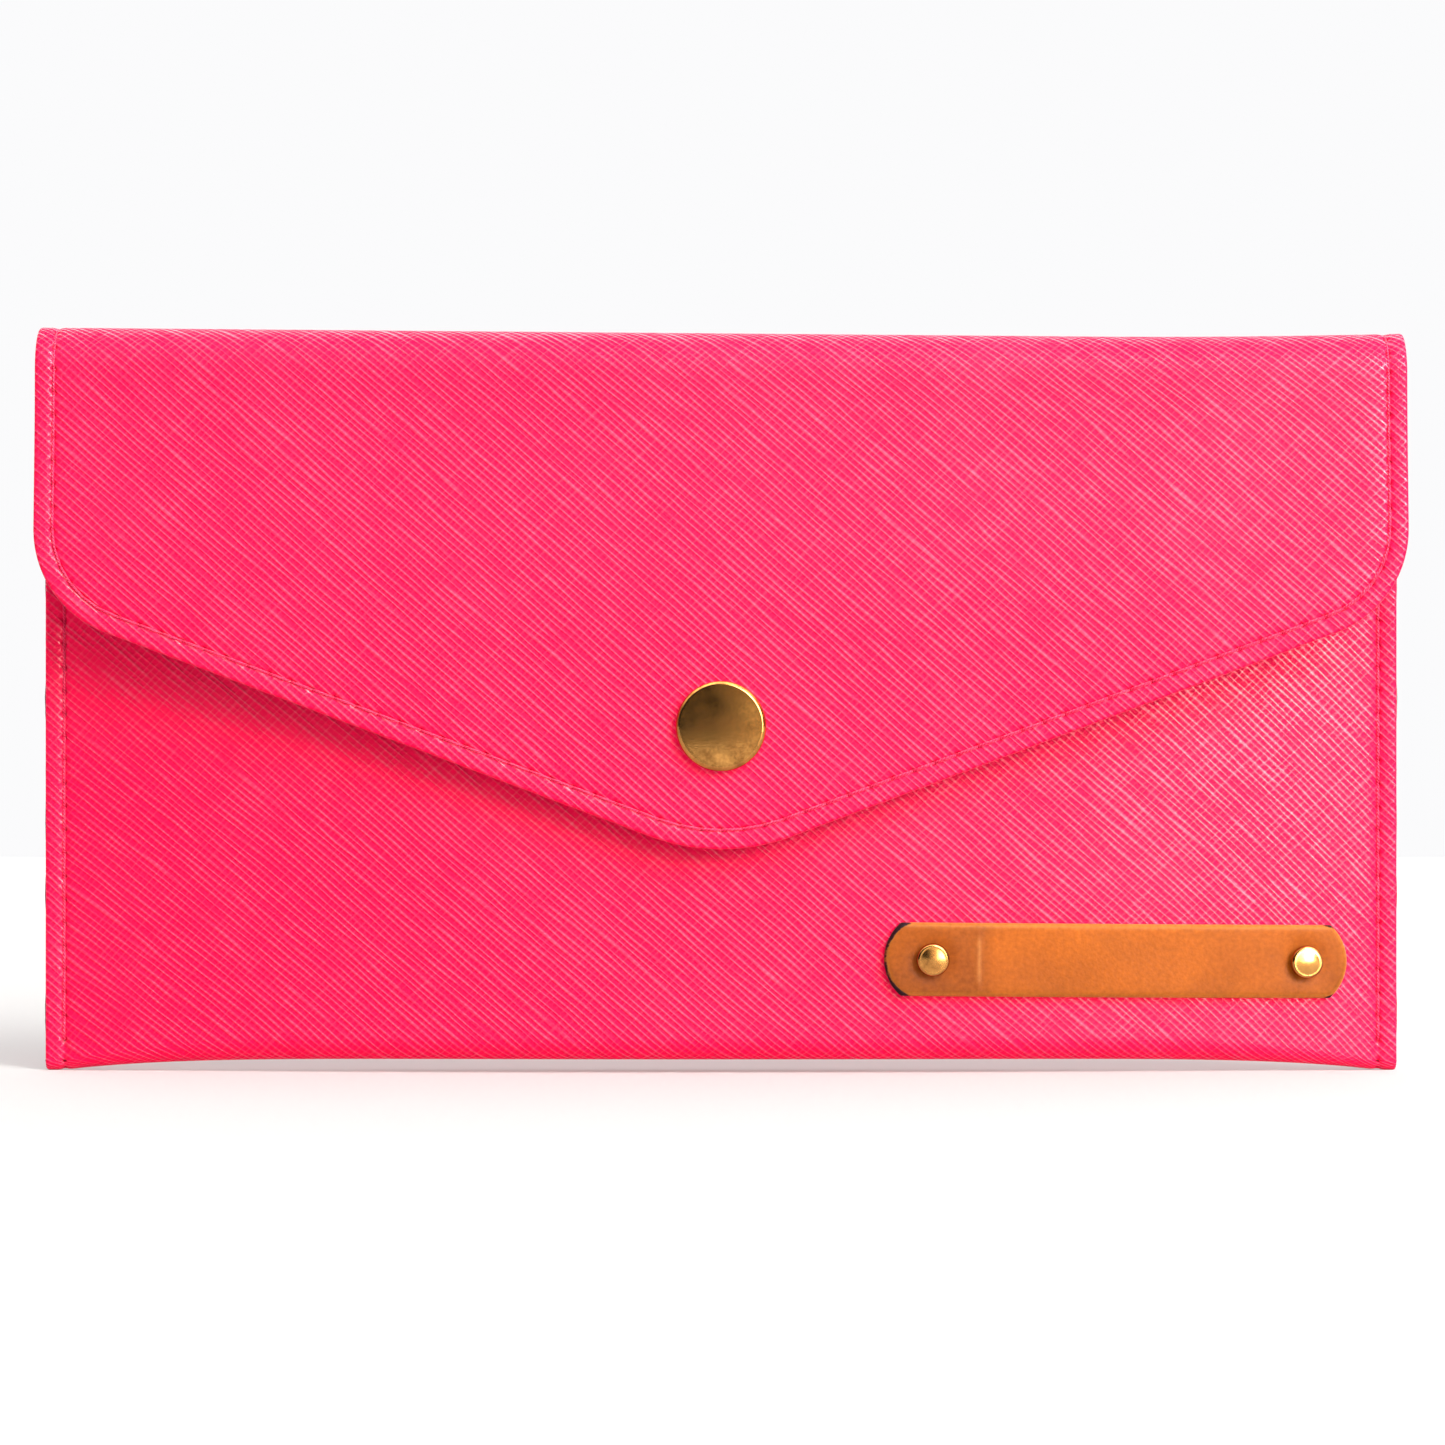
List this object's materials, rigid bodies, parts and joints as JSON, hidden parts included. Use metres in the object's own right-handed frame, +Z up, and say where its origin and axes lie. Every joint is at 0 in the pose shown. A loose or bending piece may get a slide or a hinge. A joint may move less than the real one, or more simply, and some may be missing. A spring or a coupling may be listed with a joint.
{
  "type": "envelope clutch wallet",
  "caption": "Flat upright envelope wallet with a pointed flap, press stud closure, cloth-lined pocket, inner card pockets and a riveted blank name strap.",
  "frame": {"origin": "middle of the base, on the plane where the side seams close", "axes": "+X to the right seen from the front, +Y from the front to the back, +Z up"},
  "size_m": [0.1904, 0.0171, 0.1044],
  "materials": {
    "pink_leather": "cross-grain embossed coated leather, hot pink, satin",
    "lining_cloth": "dark grey woven lining",
    "pocket_cloth": "dark grey woven pocket cloth",
    "lining_thread": "dark grey sewing thread",
    "pink_thread": "pink twisted sewing thread",
    "aged_brass": "antique brass, polished with a brown patina",
    "spring_wire": "bright drawn spring wire",
    "tan_leather": "smooth tan leather with dark burnished edges"
  },
  "bodies": {
    "pouch": {"pouch_leather": "pink_leather", "pouch_lining": "lining_cloth", "slip_pocket": "pocket_cloth", "card_pocket": "pocket_cloth", "pocket_thread": "lining_thread", "left_seam_thread": "pink_thread", "right_seam_thread": "pink_thread", "mouth_thread": "pink_thread", "snap_stud": "aged_brass", "snap_post": "aged_brass", "name_strap": "tan_leather", "strap_rivets": "aged_brass", "strap_rivet_backs": "aged_brass"},
    "fold": {"fold_leather": "pink_leather", "fold_lining": "lining_cloth", "fold_thread": "pink_thread"},
    "flap": {"flap_leather": "pink_leather", "flap_lining": "lining_cloth", "flap_thread": "pink_thread", "snap_cap": "aged_brass", "snap_socket": "aged_brass", "snap_spring": "spring_wire"}
  },
  "joints": [
    {"name": "fold_turn", "type": "hinge", "parent": "pouch", "child": "fold", "pos_m": [0, -0.00039, 0.10216], "axis": [-1, 0, 0], "range_deg": [0, 90]},
    {"name": "flap_turn", "type": "hinge", "parent": "fold", "child": "flap", "pos_m": [0, -0.00926, 0.10216], "axis": [-1, 0, 0], "range_deg": [0, 90]}
  ],
  "couplings": [
    {"joint": "flap_turn", "follows": "fold_turn", "ratio": 1}
  ]
}
